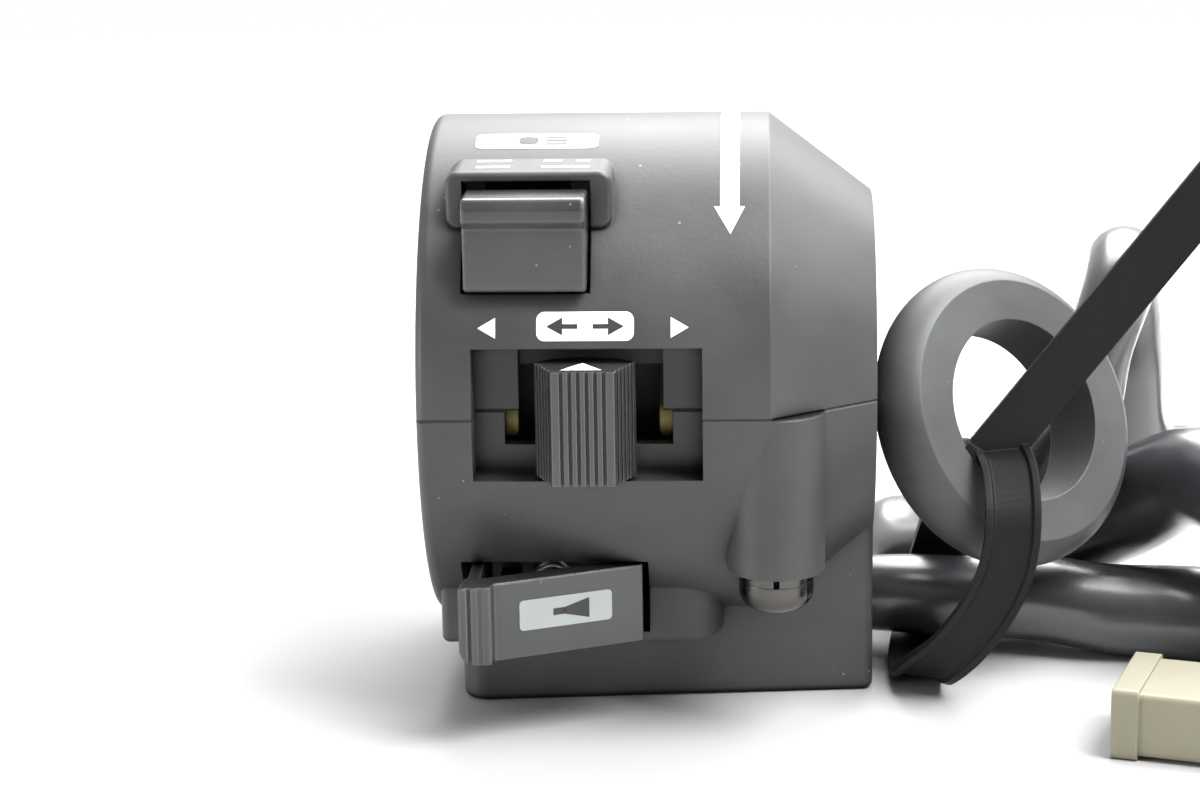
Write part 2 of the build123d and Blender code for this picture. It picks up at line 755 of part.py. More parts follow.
with BuildPart() as turn_fixed_contacts:
    for side in (-1, 1):
        x = -knob_middle + side * fixed_contact_reach
        with BuildSketch(Plane.XZ.offset(fixed_contact_front)):
            patch(x - fixed_contact_half_width, x + fixed_contact_half_width,
                  -fixed_contact_tip + fixed_contact_half_width, rail_inside)
            with Locations((x, -fixed_contact_tip + fixed_contact_half_width)):
                Circle(fixed_contact_half_width)
        extrude(amount=-fixed_contact_thickness)
        block(x - fixed_contact_half_width, x + fixed_contact_half_width, -fixed_contact_front,
              -turn_base_front, rail_inside - fixed_contact_thickness, rail_inside)
keep(turn_fixed_contacts, "turn_fixed_contacts")

# Horn lever: plate, ribbed pad, inner wall and hub
lever_run = math.hypot(lever_left - lever_right, lever_left_front - lever_right_front)
lever_in_x = -(lever_left_front - lever_right_front) / lever_run * lever_thickness
lever_in_y = (lever_left - lever_right) / lever_run * lever_thickness
with BuildPart() as horn_lever:
    with BuildSketch(Plane.XY.offset(-lever_bottom)) as plan:
        with BuildLine():
            Polyline((-lever_right, -lever_right_front), (-lever_left, -lever_left_front),
                     (-lever_left - pad_step, -pad_right_front), (-pad_left, -pad_front),
                     (-pad_left, -pad_front + lever_thickness),
                     (-pad_wall_left, -lever_left_front + lever_thickness),
                     (-pad_wall_left, -pad_wall_back), (-pad_wall_right, -pad_wall_back),
                     (-pad_wall_right, -lever_left_front + lever_in_y),
                     (-lever_left + lever_in_x, -lever_left_front + lever_in_y),
                     (-lever_right + lever_in_x, -lever_right_front + lever_in_y),
                     (-lever_right, -lever_right_front + lever_in_y), close=True)
        make_face()
        pad_pitch = (pad_left - lever_left - pad_step) / pad_rib_count
        for step in range(1, pad_rib_count):
            x = -pad_left + step * pad_pitch
            patch(x - pad_rib_groove / 2, x + pad_rib_groove / 2, -pad_front - overrun,
                  -pad_front + pad_rib_depth, mode=Mode.SUBTRACT)
    extrude(amount=lever_bottom - lever_top)
    with BuildSketch(Plane.XZ.offset(lever_right_front - lever_thickness)) as front:
        patch(-pad_left, 0, -lever_bottom, -lever_top)
        fillet(front.vertices().group_by(Axis.X)[0].sort_by(Axis.Y)[0], pad_bottom_round)
        fillet(front.vertices().group_by(Axis.X)[0].sort_by(Axis.Y)[-1], lever_edge_round)
    extrude(amount=pad_front - lever_right_front + 2 * lever_thickness, both=True, mode=Mode.INTERSECT)
    block(-arm_left, -arm_right, -lever_right_front + lever_in_y - overrun, -hub_y, -lever_bottom, -hub_top)
    post(-hub_x, -hub_y, -lever_bottom, -hub_top, hub_radius)
    spindle(-spring_seat_x, -spring_seat_z, -spring_seat_front, -spring_seat_y, spring_seat_radius)
    post(-hub_x, -hub_y, -lever_bottom - overrun, -hub_top + overrun, pin_radius + pin_running_gap,
         mode=Mode.SUBTRACT)
keep(horn_lever, "horn_lever")

with BuildPart() as horn_pivot_pin:
    post(-hub_x, -hub_y, -pin_low, -pin_high, pin_radius)
keep(horn_pivot_pin, "horn_pivot_pin")

horn_spring_length = spring_seat_y - horn_plate_front
with BuildPart() as horn_return_spring:
    horn_rise = horn_spring_length - horn_spring_wire
    with BuildLine() as path:
        Helix(horn_rise / horn_spring_turns, horn_rise, horn_spring_radius,
              center=(-spring_seat_x, -spring_seat_y + horn_spring_wire / 2, -spring_seat_z),
              direction=(0, 1, 0))
    with BuildSketch(Plane(origin=path.line @ 0, z_dir=path.line % 0)):
        Circle(horn_spring_wire / 2)
    sweep(is_frenet=True)
keep(horn_return_spring, "horn_return_spring")

with BuildPart() as horn_contact_plate:
    block(-horn_plate_left, -horn_plate_right, -horn_plate_front, -horn_plate_back, -horn_plate_low,
          -horn_plate_high)
    for x in (-horn_plate_left + horn_post_inset, -horn_plate_right - horn_post_inset):
        spindle(x, -horn_post_drop, -horn_plate_front - overrun, -horn_plate_back + overrun,
                small_screw_radius + screw_running_gap, mode=Mode.SUBTRACT)
keep(horn_contact_plate, "horn_contact_plate")

with BuildPart() as horn_plate_screws:
    for x in (-horn_plate_left + horn_post_inset, -horn_plate_right - horn_post_inset):
        spindle(x, -horn_post_drop, -horn_plate_front - small_screw_reach / 2 + overrun, -horn_plate_back,
                small_screw_radius)
        spindle(x, -horn_post_drop, -horn_plate_back, -horn_plate_back + small_screw_head_height,
                small_screw_head_radius)
keep(horn_plate_screws, "horn_plate_screws")

with BuildPart() as horn_fixed_contact:
    block(-horn_contact_x - horn_contact_half, -horn_contact_x + horn_contact_half, -horn_contact_front,
          -horn_plate_front, -spring_seat_z - horn_contact_thickness / 2,
          -spring_seat_z + horn_contact_thickness / 2)
    block(-horn_contact_x - horn_contact_half, -horn_contact_x + horn_contact_half, -horn_contact_front,
          -horn_contact_front + horn_contact_thickness, -spring_seat_z - horn_contact_half,
          -spring_seat_z + horn_contact_half)
keep(horn_fixed_contact, "horn_fixed_contact")

with BuildPart() as horn_moving_contact:
    spindle(-horn_contact_x, -spring_seat_z, -lever_left_front + lever_in_y, -horn_moving_tip,
            horn_moving_radius)
    add(horn_lever.part, mode=Mode.SUBTRACT)
keep(horn_moving_contact, "horn_moving_contact")

# Grommet in the wiring outlet
with BuildPart() as sleeve_grommet:
    with BuildSketch(Plane.YZ.offset(case_half - end_wall)):
        with Locations((outlet_y, -outlet_drop)):
            Circle(outlet_radius)
            Circle(outlet_radius - grommet_wall, mode=Mode.SUBTRACT)
    extrude(amount=end_wall)
    with BuildSketch(Plane.YZ.offset(case_half - end_wall)):
        with Locations((outlet_y, -outlet_drop)):
            Circle(outlet_radius + grommet_flange)
            Circle(outlet_radius - grommet_wall, mode=Mode.SUBTRACT)
    extrude(amount=-grommet_flange_thickness)
keep(sleeve_grommet, "sleeve_grommet")

# Sleeve: along the floor, round a wide loop, up behind the ring, over itself and down to its far end
sleeve_points = [
    (26, 4, -30.8), (42, 4, -30.8), (60, 1.5, -32.3), (84, 0, -32.4), (112, -6, -32.4), (144, -4, -32.4),
    (169, 15, -32.4), (173, 45, -32.4), (154, 70, -32.4), (122, 79, -32.4), (94, 75, -32.4), (74, 65, -32.4),
    (63, 53, -24.0), (62, 50, 3.5), (59, 25.5, 4.0), (51.5, 27.5, -21.0), (46, 39.5, -32.4), (30, 36, -32.4),
    (31, 17.5, -32.4), (53.5, 16, -28.0), (66.5, 3, -12.5), (79, -11.5, -24.0), (91, -18.5, -31.3),
    (104, -26, -32.4),
]


def bend_radii(points):
    """Radius of each bend of a route, as large as the two runs beside it allow."""
    radii = []
    for before, point, after in zip(points, points[1:], points[2:]):
        arriving = Vector(*point) - Vector(*before)
        leaving = Vector(*after) - Vector(*point)
        turn = math.radians(arriving.get_angle(leaving))
        radii.append(bend_share * min(arriving.length, leaving.length) / math.tan(turn / 2))
    return radii


def tube(points, radius, label):
    """Plain tube along a route of straight runs and tangent arcs; prints its radii, length and volume."""
    radii = bend_radii(points)
    with BuildPart() as body:
        with BuildLine() as path:
            FilletPolyline(*points, radius=radii)
        with BuildSketch(Plane(origin=path.line @ 0, z_dir=path.line % 0)):
            Circle(radius)
        sweep()
    length = path.wires()[0].length
    print(label, "bend radii", [round(value, 1) for value in radii])
    print(label, "length", round(length, 1), "volume", round(body.part.volume, 1), "section by length",
          round(math.pi * radius ** 2 * length, 1))
    return body


harness_sleeve = tube(sleeve_points, sleeve_radius, "harness_sleeve")
keep(harness_sleeve, "harness_sleeve")

# Wires between the sleeve's far end and the connector
wire_routes = {
    "wire_brown": [(102.8, -28.08, -32.4), (109.7, -32.1, -33.0), (114.5, -39, -36.9), (106.5, -46, -36.9),
                   (93, -41.5, -36.5), (79.456, -32.35, -33.8), (71.256, -29.65, -33.8)],
    "wire_yellow": [(104, -26, -32.4), (111.5, -30.3, -33.0), (119, -39, -36.9), (110, -51, -36.9),
                    (94, -47, -36.5), (78.7, -36.35, -33.8), (70, -33.5, -33.8)],
    "wire_green": [(105.2, -23.92, -32.4), (113.5, -28.7, -33.0), (123.5, -40, -36.9), (112.5, -56, -36.9),
                   (94.5, -52.5, -36.5), (77.944, -40.35, -33.8), (68.744, -37.35, -33.8)],
}
for label, points in wire_routes.items():
    keep(tube(points, wire_radius, label), label)

# Connector on the floor, its wires in a row of cavities
connector_run = Vector(-connector_x_share, connector_y_share, 0).normalized()
connector_plane = Plane(origin=(connector_x, connector_y, connector_z), x_dir=(0, 0, 1),
                        z_dir=(connector_run.X, connector_run.Y, connector_run.Z))
with BuildPart() as connector_housing:
    with BuildSketch(connector_plane) as end:
        Rectangle(connector_height, connector_width)
        fillet(end.vertices(), connector_round)
    extrude(amount=connector_length)
    with BuildSketch(connector_plane.offset(connector_length)) as rim:
        Rectangle(connector_height + connector_rim, connector_width + connector_rim)
        fillet(rim.vertices(), connector_round)
    extrude(amount=-connector_rim_length)
    with BuildSketch(connector_plane.offset(connector_length)):
        with GridLocations(0, connector_pitch, 1, wire_count):
            Rectangle(connector_cavity, connector_cavity)
    extrude(amount=-connector_length + connector_back, mode=Mode.SUBTRACT)
keep(connector_housing, "connector_housing")

with BuildPart() as connector_terminals:
    with BuildSketch(connector_plane.offset(connector_back)):
        with GridLocations(0, connector_pitch, 1, wire_count):
            Rectangle(terminal_width, terminal_thickness)
    extrude(amount=connector_length - 2 * connector_back)
keep(connector_terminals, "connector_terminals")

# Bar ring: a plain bore, flat faces and a swelling outside
ring_normal = Vector(ring_face_x_share, ring_face_y_share, ring_face_z_share).normalized()
ring_centre = Vector(ring_x, -ring_y, -ring_z)
with BuildPart() as upright_ring:
    with BuildSketch(Plane.XZ) as half:
        with BuildLine():
            Polyline((ring_face_radius, 0), (ring_bore_radius, 0), (ring_bore_radius, -ring_width),
                     (ring_face_radius, -ring_width))
            ThreePointArc((ring_face_radius, -ring_width), (ring_outer_radius, -ring_width / 2),
                          (ring_face_radius, 0))
        make_face()
    revolve(axis=Axis.Z)
with BuildPart() as bar_ring:
    add(Plane(origin=ring_centre, z_dir=ring_normal).location * upright_ring.part)
keep(bar_ring, "bar_ring")

# Strap: a band round the sleeve and the ring's rim, and its tail
ring_down = (Vector(0, 0, -1) + ring_normal * ring_normal.Z).normalized()
tie = math.radians(ring_tie_turn)
tie_run = ring_down * math.cos(tie) + ring_normal.cross(ring_down) * math.sin(tie)
rim_middle = (ring_bore_radius + ring_outer_radius) / 2
rim_centre = ring_centre - ring_normal * (ring_width / 2) + tie_run * rim_middle
sleeve_centre = Vector(strap_sleeve_x, strap_sleeve_y, -strap_sleeve_drop)
strap_run = (rim_centre - sleeve_centre).normalized()
strap_across = (Vector(1, 0, 0) - strap_run * strap_run.X).normalized()
strap_plane = Plane(origin=sleeve_centre, x_dir=strap_run, z_dir=strap_across)
rim_reach = (rim_centre - sleeve_centre).length
rim_loop_radius = math.hypot(ring_width, ring_outer_radius - ring_bore_radius) / 2 + strap_ring_room


def strap_loop(grow):
    """Outline round the sleeve and the rim, grown outwards, in the sketch that is open."""
    with BuildSketch(mode=Mode.PRIVATE) as rounds:
        Circle(sleeve_radius + strap_gap + grow)
        with Locations((rim_reach, 0)):
            Circle(rim_loop_radius + grow)
    return make_hull(rounds.sketch.edges(), mode=Mode.PRIVATE)


tail_lean = math.radians(tail_root_turn)
tail_side = strap_run * math.cos(tail_lean) + strap_run.cross(strap_across) * math.sin(tail_lean)
tail_root = rim_centre + tail_side * (rim_loop_radius + strap_thickness / 2)
tail_run = Vector(*tail_end) - tail_root
tail_out = (Vector(0, -1, 0) + tail_run.normalized() * tail_run.normalized().Y).normalized()
tail_plane = Plane(origin=tail_root, x_dir=tail_run.normalized(), z_dir=tail_out)
with BuildPart() as harness_strap:
    with BuildSketch(strap_plane.offset(-strap_width / 2)):
        add(strap_loop(strap_thickness))
        add(strap_loop(0), mode=Mode.SUBTRACT)
    extrude(amount=strap_width)
    with BuildSketch(tail_plane):
        with Locations((tail_run.length / 2, 0)):
            Rectangle(tail_run.length, strap_width)
    extrude(amount=strap_thickness / 2, both=True)
    with BuildSketch(tail_plane):
        with Locations((buckle_length / 2, 0)):
            Rectangle(buckle_length, buckle_width)
    extrude(amount=buckle_thickness / 2, both=True)
    add(harness_sleeve.part, mode=Mode.SUBTRACT)
    add(bar_ring.part, mode=Mode.SUBTRACT)
keep(harness_strap, "harness_strap")
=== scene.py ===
# %% [markdown]
# ## The frame
# The CAD model comes in at its real size, in metres. Its origin is on the bar's axis in the middle of the
# switch, so every size below can be read off with calipers on a real switch. Sizes are written in
# millimetres and turned into metres where a mesh is made.

# %% Load the frame
import json
import math

import bmesh
import bpy
from mathutils import Matrix, Vector, noise


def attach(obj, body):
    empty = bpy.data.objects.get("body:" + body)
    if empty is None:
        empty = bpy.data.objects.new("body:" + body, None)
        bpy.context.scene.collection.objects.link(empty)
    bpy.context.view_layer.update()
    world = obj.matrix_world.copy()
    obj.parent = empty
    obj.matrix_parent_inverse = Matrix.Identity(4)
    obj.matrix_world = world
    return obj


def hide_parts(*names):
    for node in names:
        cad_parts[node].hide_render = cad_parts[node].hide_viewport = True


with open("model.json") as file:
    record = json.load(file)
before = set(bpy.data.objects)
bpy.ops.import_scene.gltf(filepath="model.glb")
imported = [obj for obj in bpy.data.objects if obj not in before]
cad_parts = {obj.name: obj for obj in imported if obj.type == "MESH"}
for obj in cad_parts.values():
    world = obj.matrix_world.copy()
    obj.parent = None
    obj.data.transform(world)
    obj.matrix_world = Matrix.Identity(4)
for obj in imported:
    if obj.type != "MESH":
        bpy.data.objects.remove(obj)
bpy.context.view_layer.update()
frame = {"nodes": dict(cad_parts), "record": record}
nodes = frame["nodes"]
mm = 0.001

# %% [markdown]
# ## Camera
# The photo was taken from a little above, with the bar lying almost straight across. A long lens keeps the
# two ends of the switch nearly the same height. Place and turn come from matching the edges of the case to
# the photo.

# %% Camera
camera_place = Vector((11.7, -354.3, 81.8)) * mm
camera_right = Vector((0.99871, 0.04825, -0.01564))
camera_up = Vector((0.00372, 0.23780, 0.97131))


def put(name, data):
    """Object with this data, linked to the scene at the origin."""
    made = bpy.data.objects.new(name, data)
    bpy.context.scene.collection.objects.link(made)
    return made


camera_data = bpy.data.cameras.new("camera")
camera_data.lens = 90
camera_data.sensor_width = 36
camera_data.clip_start = 10 * mm
camera = put("camera", camera_data)
turn = Matrix((camera_right, camera_up, camera_right.cross(camera_up))).transposed().to_4x4()
camera.matrix_world = Matrix.Translation(camera_place) @ turn
bpy.context.scene.camera = camera
bpy.context.scene.view_settings.view_transform = "Standard"
print("camera", [round(value, 3) for value in camera.location])

# %% [markdown]
# ## Shader nodes
# A finish is a tree of small nodes. The same few kinds come up again and again: one that stretches a value
# to another span, one that mixes two colours, one that scales a colour and one that does sums. Each gets a
# short helper that takes plain numbers and linked sockets alike, so that a finish reads as a recipe.


# %% Helpers for shader nodes
def node(tree, kind, **values):
    """Adds a shader node and sets its inputs and settings by name."""
    made = tree.nodes.new(kind)
    for key, value in values.items():
        if key in made.inputs:
            made.inputs[key].default_value = value
        else:
            setattr(made, key, value)
    return made


def feed(tree, socket, value):
    """Links an input to another node's output, or sets it to a plain value."""
    if isinstance(value, bpy.types.NodeSocket):
        tree.links.new(value, socket)
    else:
        socket.default_value = value


def ranged(tree, value, low, high, to_low=0.0, to_high=1.0):
    """Turns the span from low to high of a value into the span from to_low to to_high."""
    made = node(tree, "ShaderNodeMapRange")
    feed(tree, made.inputs["Value"], value)
    for name, number in (("From Min", low), ("From Max", high), ("To Min", to_low), ("To Max", to_high)):
        feed(tree, made.inputs[name], number)
    return made.outputs["Result"]


def blended(tree, share, first, second):
    """Mix of two colours, all first at share 0 and all second at share 1."""
    made = node(tree, "ShaderNodeMixRGB")
    feed(tree, made.inputs["Fac"], share)
    for name, colour in (("Color1", first), ("Color2", second)):
        feed(tree, made.inputs[name], (*colour, 1) if isinstance(colour, tuple) else colour)
    return made.outputs["Color"]


def scaled(tree, colour, share):
    """Colour made lighter or darker by a share."""
    made = node(tree, "ShaderNodeVectorMath", operation="SCALE")
    feed(tree, made.inputs[0], colour)
    feed(tree, made.inputs["Scale"], share)
    return made.outputs["Vector"]


def maths(tree, operation, first, second=0.0):
    """Sum, product, comparison or the like of two values."""
    made = node(tree, "ShaderNodeMath", operation=operation)
    feed(tree, made.inputs[0], first)
    feed(tree, made.inputs[1], second)
    return made.outputs["Value"]


def noise_at(tree, place, **values):
    """Noise with its own scale and detail, read at a place."""
    made = node(tree, "ShaderNodeTexNoise", **values)
    feed(tree, made.inputs["Vector"], place)
    return made.outputs["Fac"]


def height_of(tree, place):
    """Height above the bar's axis, in metres."""
    made = node(tree, "ShaderNodeSeparateXYZ")
    feed(tree, made.inputs["Vector"], place)
    return made.outputs["Z"]


print("shader helpers ready")

# %% [markdown]
# ## Worn and highlighted edges, and grain
# Moulded plastic is never quite sharp. The Bevel node bends the light at an edge as a rounding would, and
# where its normal leaves the true one there is an edge, which hands rub paler; on knobs, key and lever the
# paler edge is also a painted edge highlight. Real bevels on every edge would cost thousands of faces. The
# grain and the creases of a soft skin only bend the light too: they are noise in a Bump.

# %% Edges and bumps
edge_from, edge_to = 0.99, 0.85


def edge_share(tree, soft_normal, wear_and_highlight):
    """Share of paler edge, for rubbing and painted edge highlight: none on flat faces, the set share at an
    edge.
    """
    true_normal = node(tree, "ShaderNodeNewGeometry").outputs["Normal"]
    same = node(tree, "ShaderNodeVectorMath", operation="DOT_PRODUCT")
    feed(tree, same.inputs[0], soft_normal)
    feed(tree, same.inputs[1], true_normal)
    return ranged(tree, same.outputs["Value"], edge_from, edge_to, to_high=wear_and_highlight)


def pressed(tree, height, normal, depth, strength):
    """Normal with a height pattern pressed into it."""
    made = node(tree, "ShaderNodeBump", Distance=depth, Strength=strength)
    feed(tree, made.inputs["Height"], height)
    feed(tree, made.inputs["Normal"], normal)
    return made.outputs["Normal"]


print("an edge begins where the normals agree by less than", edge_from)

# %% [markdown]
# ## Dust, seam and painted shade
# Dust and seam are traces that tell a used part from a drawing. Dust is a scatter of tiny cells, kept only in
# some patches. The seam is the line where the two halves of the case meet, at the height of the bar's axis.
# Brass is painted darker above its bright tips: painted shade. Painted shade in hollows comes from the
# Ambient Occlusion node, which measures how closed in a spot is. Painting all this by hand would need a
# picture, and no picture is used.

# %% Traces of use and painted shade
dust_colour = (0.5, 0.5, 0.48)
seam_colour = (0.002, 0.002, 0.002)
# Painted shade colour for brass deep in the recesses.
brass_shade_colour = (0.012, 0.011, 0.008)
dust_scale, speck_reach = 420.0, 0.07
patch_scale, patch_limit = 160.0, 0.62
groove_foot, groove_rim, groove_depth = 0.08 * mm, 0.22 * mm, 0.2 * mm
closed_share, open_share, least_light = 0.35, 0.85, 0.15


def dusted(tree, place, colour, amount):
    """Colour with pale specks in some patches."""
    cells = node(tree, "ShaderNodeTexVoronoi", Scale=dust_scale, Randomness=1.0)
    feed(tree, cells.inputs["Vector"], place)
    speck = maths(tree, "LESS_THAN", cells.outputs["Distance"], speck_reach)
    patch = maths(tree, "GREATER_THAN", noise_at(tree, place, Scale=patch_scale, Detail=1.0), patch_limit)
    share = maths(tree, "MULTIPLY", maths(tree, "MULTIPLY", speck, patch), amount)
    return blended(tree, share, colour, dust_colour)


def parted(tree, place, colour, normal):
    """Colour and normal with a fine dark groove at the height of the bar's axis."""
    away = maths(tree, "ABSOLUTE", height_of(tree, place))
    groove = ranged(tree, away, groove_foot, groove_rim)
    return blended(tree, groove, seam_colour, colour), pressed(tree, groove, normal, groove_depth, 1.0)


def shaded_above(tree, place, colour, low, high):
    """Painted shade: colour that darkens from one height to another."""
    return blended(tree, ranged(tree, height_of(tree, place), low, high), colour, brass_shade_colour)


def painted_hollow_shade(tree, colour, shine, reach):
    """Painted shade: colour and shine, both weaker where other faces stand within reach."""
    closed_in = node(tree, "ShaderNodeAmbientOcclusion", samples=4, Distance=reach)
    share = ranged(tree, closed_in.outputs["AO"], closed_share, open_share, to_low=least_light)
    return scaled(tree, colour, share), maths(tree, "MULTIPLY", share, shine)


print("dust", dust_colour, "seam", seam_colour, "dull", brass_shade_colour)

# %% [markdown]
# ## One recipe for every finish
# Plastic, rubber, brass and paint differ in numbers more than in kind, so one recipe serves them all. It
# starts with a colour that changes slowly from place to place, adds the traces that are asked for, and lets
# the gloss change a little with the same slow noise, as hands and mould do.

# %% The recipe
tone_scale, tone_low, tone_high = 90.0, 0.3, 0.7
grain_size, grain_strength = 0.6 * mm, 0.6
crease_scale, crease_strength = 70.0, 0.9
gloss_change, least_rough, coat_rough = 0.07, 0.05, 0.25


def paler(colour):
    """Colour of the same plastic where hands have rubbed it."""
    return tuple(min(1.0, 2.2 * part + 0.01) for part in colour)


def finish(name, colour, rough, metal=0.0, grain_depth=0.03 * mm, tone=0.25, edge=0.25 * mm, wear_and_highlight=0.5,
           wear_and_highlight_colour=None, coat=0.0, specks=0.0, seam=False, creases=0.0, shine=0.5, shade_heights=None,
           hollow_shade_reach=0.0):
    """Surface with a slow change of tone, a fine grain, softened edges made paler by rubbing and painted
    highlight, and what else is asked.
    """
    made = bpy.data.materials.new(name)
    made.use_nodes = True
    tree = made.node_tree
    place = node(tree, "ShaderNodeTexCoord").outputs["Object"]
    slow = noise_at(tree, place, Scale=tone_scale, Detail=3.0)
    normal = node(tree, "ShaderNodeBevel", samples=4, Radius=edge).outputs["Normal"]

    now = scaled(tree, colour, ranged(tree, slow, tone_low, tone_high, 1 - tone, 1 + tone))
    now = blended(tree, edge_share(tree, normal, wear_and_highlight), now, wear_and_highlight_colour or paler(colour))
    if specks:
        now = dusted(tree, place, now, specks)
    grain = noise_at(tree, place, Scale=1 / grain_size, Detail=2.0)
    normal = pressed(tree, grain, normal, grain_depth, grain_strength)
    if creases:
        crease = noise_at(tree, place, Scale=crease_scale, Detail=1.0, Distortion=1.0)
        normal = pressed(tree, crease, normal, creases, crease_strength)
    if seam:
        now, normal = parted(tree, place, now, normal)
    # Painted shade: brass darkens above its tips.
    if shade_heights:
        now = shaded_above(tree, place, now, *shade_heights)
    # Painted shade: colour and shine darker in hollows.
    if hollow_shade_reach:
        now, shine = painted_hollow_shade(tree, now, shine, hollow_shade_reach)

    rough_low, rough_high = max(least_rough, rough - gloss_change), min(1.0, rough + gloss_change)
    inputs = {"Base Color": now, "Normal": normal, "Metallic": metal, "Specular IOR Level": shine,
              "Roughness": ranged(tree, slow, 0.0, 1.0, rough_low, rough_high),
              "Coat Weight": coat, "Coat Roughness": coat_rough}
    for socket_name, value in inputs.items():
        feed(tree, tree.nodes["Principled BSDF"].inputs[socket_name], value)
    return made


def dress(piece, paint):
    """Gives a piece its finish in place of any it had."""
    piece.data.materials.clear()
    piece.data.materials.append(paint)


print("grain", grain_size, "change of gloss", gloss_change)

# %% [markdown]
# ## Finishes
# The case is glass-filled nylon with a fine spark-eroded grain, with painted shade in its hollows. Knobs and
# lever are a smoother plastic, so they shine a little more, and the edges of key and lever are rounder; their
# pale edges are wear and painted edge highlight, and their hollows carry painted shade too. The sleeve is
# soft vinyl: glossier, and creased wherever it bends. Brass is bright only at the tips; above them it is
# painted darker, as painted shade.

# %% Finishes
finish_table = {
    "case_plastic": dict(colour=(0.029, 0.030, 0.030), rough=0.48, seam=True, specks=0.22, wear_and_highlight=0.45,
                         hollow_shade_reach=2 * mm),
    # Knob and key: their bright paler edges are painted edge highlights as well as wear.
    "knob_plastic": dict(colour=(0.023, 0.024, 0.025), rough=0.30, wear_and_highlight=0.8, wear_and_highlight_colour=(0.13, 0.135, 0.14),
                         specks=0.2, coat=0.3, hollow_shade_reach=1.2 * mm),
    "key_plastic": dict(colour=(0.021, 0.022, 0.023), rough=0.30, wear_and_highlight=0.7, wear_and_highlight_colour=(0.10, 0.105, 0.11),
                        specks=0.2, coat=0.4, edge=0.6 * mm, hollow_shade_reach=1.2 * mm),
    "base_plastic": dict(colour=(0.02, 0.016, 0.012), rough=0.6),
    "screw_steel": dict(colour=(0.07, 0.067, 0.063), rough=0.2, metal=1.0, grain_depth=0.01 * mm),
    "spring_steel": dict(colour=(0.45, 0.45, 0.46), rough=0.3, metal=1.0, grain_depth=0.01 * mm),
    "contact_brass": dict(colour=(0.20, 0.17, 0.07), rough=0.45, metal=1.0, grain_depth=0.01 * mm),
    # Painted shade: the turn contacts darken above their tips, and the lights contacts are darker all over,
    # for the deep recess.
    "brass_tips": dict(colour=(0.20, 0.17, 0.07), rough=0.45, metal=1.0, grain_depth=0.01 * mm,
                       shade_heights=(-2.2 * mm, -0.4 * mm)),
    "brass_in_painted_shade": dict(colour=(0.03, 0.026, 0.016), rough=0.6, metal=1.0, grain_depth=0.01 * mm),
    "soft_sleeve": dict(colour=(0.022, 0.023, 0.026), rough=0.30, coat=0.9, creases=1 * mm,
                        grain_depth=0.01 * mm),
    "ring_rubber": dict(colour=(0.038, 0.040, 0.042), rough=0.48, specks=0.3),
    "strap_plastic": dict(colour=(0.006, 0.006, 0.007), rough=0.5, shine=0.16, wear_and_highlight=0.4),
    # Painted shade: the connector's colour is darker than its pale cream plastic, for the shade where it
    # sits.
    "connector_plastic": dict(colour=(0.17, 0.16, 0.11), rough=0.4, tone=0.06),
    "wire_brown": dict(colour=(0.16, 0.07, 0.03), rough=0.4),
    "wire_yellow": dict(colour=(0.70, 0.52, 0.10), rough=0.4, tone=0.1),
    "wire_green": dict(colour=(0.06, 0.22, 0.09), rough=0.4),
    "legend_paint": dict(colour=(0.80, 0.80, 0.78), rough=0.6, tone=0.08, wear_and_highlight=0.0),
    "plate_paint": dict(colour=(0.30, 0.32, 0.32), rough=0.45, tone=0.08, wear_and_highlight=0.0),
    "sign_ink": dict(colour=(0.02, 0.02, 0.02), rough=0.5, tone=0.1, wear_and_highlight=0.0),
}
own_finishes = {"turn_fixed_contacts": "brass_tips", "lights_fixed_contacts": "brass_in_painted_shade",
                "lights_knob": "key_plastic", "horn_lever": "key_plastic"}
finishes = {name: finish(name, **values) for name, values in finish_table.items()}
slots = {row["node"]: row["material_slot"] for row in frame["record"]["subparts"]}
for name, piece in nodes.items():
    dress(piece, finishes[own_finishes.get(name, slots[name])])
print("finishes", sorted(finishes))

# %% [markdown]
# ## Harness
# One soft sleeve leaves the right end of the case, runs over the table and comes back over itself behind
# the ring. A curve with a round bevel is the short way to a tube: it follows the same points as the CAD
# tube. A real sleeve is pulled over a bundle of wires, so its width changes along its length, and each
# point below carries its own share of the radius.

# %% Tube along a route
ring_steps = 8
route_steps = 16


def tube(name, route, radius, shares, paint):
    """Curve along a route with a round section, its ends closed."""
    curve = bpy.data.curves.new(name, "CURVE")
    curve.dimensions = "3D"
    curve.bevel_depth = radius
    curve.bevel_resolution = ring_steps
    curve.resolution_u = route_steps
    curve.use_fill_caps = True
    spline = curve.splines.new("NURBS")
    spline.points.add(len(route) - 1)
    for index, point in enumerate(route):
        spline.points[index].co = (*(value * mm for value in point), 1)
        spline.points[index].radius = shares.get(index, 1.0)
    spline.order_u = 3
    spline.use_endpoint_u = True
    curve.materials.append(paint)
    return put(name, curve)


print("steps round a tube", ring_steps, "steps between points", route_steps)

# %% [markdown]
# ## Folds of the sleeve
# Soft vinyl buckles where it bends. A slow noise moves the sleeve's skin in and out by about a millimetre
# for that, slanting with height, and the table keeps it flat below. Sculpting would give sharper folds, but
# it can't be written down as a short rule.

# %% Folds
fold_slant = Matrix(((1, 0, 0.7), (0, 1, -0.5), (0, 0, 0.6)))


def read_mesh(piece):
    """Mesh of a piece as it looks now, with its bevel and modifiers done."""
    bpy.context.view_layer.update()
    return bpy.data.meshes.new_from_object(piece.evaluated_get(bpy.context.evaluated_depsgraph_get()))


